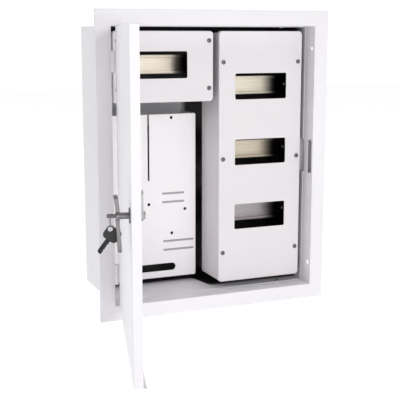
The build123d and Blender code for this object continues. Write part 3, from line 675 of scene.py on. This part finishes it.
# split key ring, two turns of flat wire side by side
keyRing = {
    "centre": (166.95, -222.05, -15.75),
    "radius": 9.6,
    "wire": (0.46, 0.29),  # half its width and half its thickness
    "pitch": 0.47,
    "turns": 1.96,
    "steps": 120,
    "startsAt": 75,  # degrees about its axis, where the wire begins
}
ring = bmesh.new()
bmesh.ops.create_circle(ring, segments=10, radius=1.0)
bmesh.ops.scale(ring, vec=(*keyRing["wire"], 1.0), verts=ring.verts)
ringWidth = keyRing["pitch"] * keyRing["turns"]
bmesh.ops.translate(ring, vec=(keyRing["radius"], -ringWidth / 2, 0), verts=ring.verts)
bmesh.ops.spin(
    ring, geom=ring.verts[:] + ring.edges[:], cent=(0, 0, 0), axis=(0, 1, 0),
    dvec=(0, ringWidth / keyRing["steps"], 0),
    angle=math.tau * keyRing["turns"], steps=keyRing["steps"], use_merge=False,
)
bmesh.ops.holes_fill(ring, edges=[edge for edge in ring.edges if edge.is_boundary], sides=0)
bmesh.ops.recalc_face_normals(ring, faces=ring.faces)
ringPlace = swingDoor() @ Matrix.Translation(keyRing["centre"]) @ turned(keyRing["startsAt"], "Y")
bmesh.ops.transform(ring, matrix=ringPlace, verts=ring.verts)
finishPiece("keyRing", ring, [nickelPlate], "key_ring_body", ["key_ring"])
print("key ring made")


# keys: a metal blade in a moulded bow
spareHang = {
    "eye": (166.95, -222.05, -28.15),  # the middle of the bow's eye, 2.8 mm below the ring's wire
    "tilt": -36.5,  # degrees from plumb
    "hole": (-6.5, -14.5),  # that eye on the key as it is drawn
}
keys = {
    "lockKey": {
        "node": "lock_key", "body": "lock", "bow": (21.0, 12.0), "corner": 4.0,
        "hole": (-5.0, -7.0), "blade": 30.0, "coats": [greyPlastic, nickelPlate],
        "place": swingDoor() @ Matrix.Translation((176.5, -215.05, -8.0)),
    },
    "spareKey": {
        "node": "spare_key", "body": "spare_key_body", "bow": (23.0, 20.0), "corner": 6.0,
        "hole": spareHang["hole"], "blade": 22.0, "coats": [blackPlastic, blackSteel],
        # the eye goes to the origin, then the key is turned over, tilted and carried to the ring
        "place": swingDoor() @ Matrix.Translation(spareHang["eye"]) @ turned(spareHang["tilt"], "X")
        @ turned(90, "Y") @ turned(-90, "Z") @ turned(180, "Y")
        @ Matrix.Translation((-spareHang["hole"][0], -spareHang["hole"][1], 0)),
    },
}
keyCut = {
    "thickness": 2.0,
    "rim": 0.35,
    "holeRadius": 3.6,
    "border": 2.0,
    "panelDepth": 0.3,
    "panelCorner": 1.2,  # how much tighter the sunk panel's corners are than the bow's
    "bladeWidth": 6.6,
    "bladeThickness": 1.6,
    "root": 0.5,  # how far the blade reaches into the bow
    "teeth": (0.85, 1.2, 0.85, 1.2),
    "teethPitch": 4.0,
    "teethFromTip": 3.0,
    "tip": 3.0,
    "groove": (1.3, 0.35),
    "grooveAside": 0.9,
    "grooveShort": 3.0,  # how far the groove ends from the tip
}


def roundedSlab(width, length, thickness, corner, rim):
    slab = bmesh.new()
    addBlock(slab, (width, length, thickness), (0, 0, 0))
    roundEdges(slab, [edge for edge in slab.edges if alongAxis(edge, 2) > 0.001], corner, 7)
    if rim:
        roundEdges(slab, [edge for edge in slab.edges if alongAxis(edge, 2) < 0.001], rim, 2)
    return slab


def keyShape(setup):
    # the bow is face material 0 and the blade 1
    width, length = setup["bow"]
    bow = roundedSlab(width, length, keyCut["thickness"], setup["corner"], keyCut["rim"])
    for side in (1, -1):
        panel = roundedSlab(
            width - 2 * keyCut["border"], length - 2 * keyCut["border"], 2 * keyCut["panelDepth"],
            setup["corner"] - keyCut["panelCorner"], 0,
        )
        bmesh.ops.translate(panel, vec=(0, 0, side * keyCut["thickness"] / 2), verts=panel.verts)
        bow = cutAway(bow, panel)
    eye = bmesh.new()
    bmesh.ops.create_cone(
        eye, cap_ends=True, segments=32, radius1=keyCut["holeRadius"], radius2=keyCut["holeRadius"],
        depth=3 * keyCut["thickness"],
    )
    bmesh.ops.translate(eye, vec=(setup["hole"][0], setup["hole"][1] + length / 2, 0), verts=eye.verts)
    bow = cutAway(bow, eye)
    bmesh.ops.translate(bow, vec=(0, -length / 2, 0), verts=bow.verts)

    blade = bmesh.new()
    long = setup["blade"] + keyCut["root"]
    bladeWidth, bladeThickness = keyCut["bladeWidth"], keyCut["bladeThickness"]
    addBlock(blade, (bladeWidth, long, bladeThickness), (0, (setup["blade"] - keyCut["root"]) / 2, 0))
    cuts = bmesh.new()
    through = 2.5 * bladeThickness
    for number, depth in enumerate(keyCut["teeth"]):
        y = setup["blade"] - keyCut["teethFromTip"] - number * keyCut["teethPitch"]
        side = depth * math.sqrt(2)
        addBlock(cuts, (side, side, through), (bladeWidth / 2, y, 0), 45)
    addBlock(cuts, (keyCut["tip"], keyCut["tip"], through), (-bladeWidth / 2, setup["blade"], 0), 45)
    for side in (1, -1):
        grooveWidth, grooveDepth = keyCut["groove"]
        grooveLength = 2 * (setup["blade"] - keyCut["grooveShort"])
        groovePlace = (-keyCut["grooveAside"] * side, 0, side * bladeThickness / 2)
        addBlock(cuts, (grooveWidth, grooveLength, 2 * grooveDepth), groovePlace)
    blade = cutAway(blade, cuts)
    for face in blade.faces:
        face.material_index = 1
    steel = bpy.data.meshes.new("blade")
    blade.to_mesh(steel)
    blade.free()
    bow.from_mesh(steel)
    bpy.data.meshes.remove(steel)
    return bow


for name, setup in keys.items():
    key = keyShape(setup)
    bmesh.ops.transform(key, matrix=setup["place"], verts=key.verts)
    finishPiece(name, key, setup["coats"], setup["body"], [setup["node"]])
print("keys made")


# turned and pressed small parts: the solids again, with their sharp edges rounded;
# each row gives the node, its body, the size of the rounding in mm, the coat and a slot name
softened = {
    "lockLever": ("lock_lever", "lock", 1.1, smokedNickel, "lock_metal"),
    "lockPlug": ("lock_plug", "lock", 0.15, smokedNickel, "lock_metal"),
    "lockBody": ("lock_body", "door", 0.25, smokedNickel, "lock_metal"),
    "lockNut": ("lock_nut", "door", 0.5, nickelPlate, "zinc"),
    "lockCam": ("lock_cam", "lock", 0.35, nickelPlate, "zinc"),
    "frameHinges": ("frame_hinges", "enclosure", 0.3, whiteCoat, "white_paint"),
    "doorHinges": ("door_hinges", "door", 0.3, whiteCoat, "white_paint"),
}
cleaning = {"join": 0.002, "flat": math.radians(1)}  # mm and angle below which the solid's facets are merged
for name, (node, body, rounding, coat, slot) in softened.items():
    part = bmesh.new()
    part.from_mesh(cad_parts[node].data)
    bmesh.ops.scale(part, vec=(1 / mm, 1 / mm, 1 / mm), verts=part.verts)
    bmesh.ops.remove_doubles(part, verts=part.verts, dist=cleaning["join"])
    bmesh.ops.dissolve_limit(part, angle_limit=cleaning["flat"], verts=part.verts, edges=part.edges)
    sharp = [edge for edge in part.edges if edge.is_manifold and edge.calc_face_angle(0.0) > sharpAngle]
    roundEdges(part, sharp, rounding, 2)
    finishPiece(name, part, [coat], body, [node])
print("softened", len(softened), "small parts")


# ruled lines on the meter panel, where the real one has small print
panelPrint = {
    "lines": ((-68.0, -22.0, -70.0), (-68.0, -22.0, -87.0), (-66.0, -2.0, -165.5), (-66.0, -2.0, -183.0)),
    "wide": 4.0,
    "proud": 0.12,
    "corner": 0.6,
    "face": -82.0,  # the panel's front, in Y
}
rules = bmesh.new()
for left, right, height in panelPrint["lines"]:
    addBlock(
        rules, (right - left, 2 * panelPrint["proud"], panelPrint["wide"]),
        ((left + right) / 2, panelPrint["face"], height),
    )
roundEdges(rules, [edge for edge in rules.edges if alongAxis(edge, 1) > 0.01], panelPrint["corner"], 3)
finishPiece("panelPrint", rules, [greyInk], "enclosure", [])
print("panel print made")
